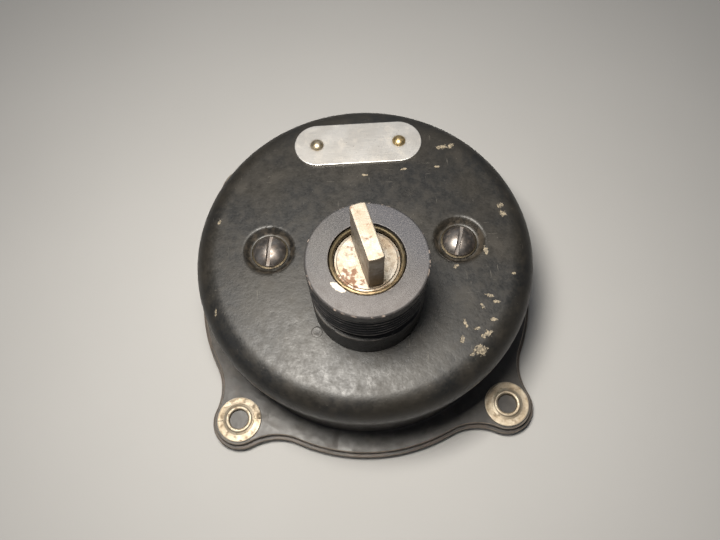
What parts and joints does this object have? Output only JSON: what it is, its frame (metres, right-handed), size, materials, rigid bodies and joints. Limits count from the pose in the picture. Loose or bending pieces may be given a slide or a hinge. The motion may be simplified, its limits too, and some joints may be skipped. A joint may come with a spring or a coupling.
{
  "type": "variable tuning capacitor",
  "caption": "Air-spaced tuning capacitor in a round black can, with an off-centre threaded neck, a flat drive tang and a lobed flange with corner eyelets.",
  "frame": {"origin": "centre of the plane that the four mounting eyelets rest on, on the can's axis", "axes": "+Z along the shaft, out of the neck; +Y towards the identity plate; +X to the right of the neck seen from the front"},
  "size_m": [0.0812, 0.0812, 0.0606],
  "materials": {
    "black_enamel": "satin black stoving enamel, chipped at the shoulder",
    "black_laminate": "dull black phenolic sheet",
    "blackened_brass": "dark slate finish, worn bright on the edges",
    "plain_brass": "dull brass",
    "nickelled_brass": "pale tarnished nickel on brass",
    "plate_aluminium": "fine satin",
    "pin_brass": "domed, tarnished",
    "vane_aluminium": "rolled sheet",
    "shaft_nickel": "warm nickel with brown stains",
    "dark_steel": "browned steel",
    "bright_steel": "ground steel",
    "spring_bronze": "rolled bronze strip"
  },
  "bodies": {
    "case": {"back_plate": "black_laminate", "cover": "black_enamel", "cover_pillars": "plain_brass", "cover_screw_washers": "plain_brass", "cover_screws": "dark_steel", "housing": "black_enamel", "id_plate": "plate_aluminium", "id_plate_pins": "pin_brass", "lower_bush": "plain_brass", "mounting_eyelets": "nickelled_brass", "mounting_washers": "nickelled_brass", "neck": "blackened_brass", "neck_bush": "plain_brass", "neck_nut": "plain_brass", "pillar_screws": "dark_steel", "rotor_terminal": "nickelled_brass", "rotor_wiper": "spring_bronze", "stator_feet": "plain_brass", "stator_nuts": "plain_brass", "stator_screws": "plain_brass", "stator_spacers": "plain_brass", "stator_strap": "plain_brass", "stator_terminal": "nickelled_brass", "stator_vane_1": "vane_aluminium", "stator_vane_2": "vane_aluminium", "stator_vane_3": "vane_aluminium", "stator_vane_4": "vane_aluminium", "stator_vane_5": "vane_aluminium", "stator_vane_6": "vane_aluminium", "stator_vane_7": "vane_aluminium", "stop_pin": "bright_steel", "thrust_ball": "bright_steel", "thrust_screw": "bright_steel"},
    "rotor": {"drive_shaft": "shaft_nickel", "stop_sector": "plain_brass", "rotor_top_spacer": "plain_brass", "rotor_spacers": "plain_brass", "contact_disc": "plain_brass", "rotor_nut": "plain_brass", "rotor_vane_1": "vane_aluminium", "rotor_vane_2": "vane_aluminium", "rotor_vane_3": "vane_aluminium", "rotor_vane_4": "vane_aluminium", "rotor_vane_5": "vane_aluminium", "rotor_vane_6": "vane_aluminium"}
  },
  "joints": [
    {"name": "rotor_turn", "type": "hinge", "parent": "case", "child": "rotor", "pos_m": [0, -0.0124, 0], "axis": [0, 0, 1], "range_deg": [-14.5, 165.5]}
  ]
}
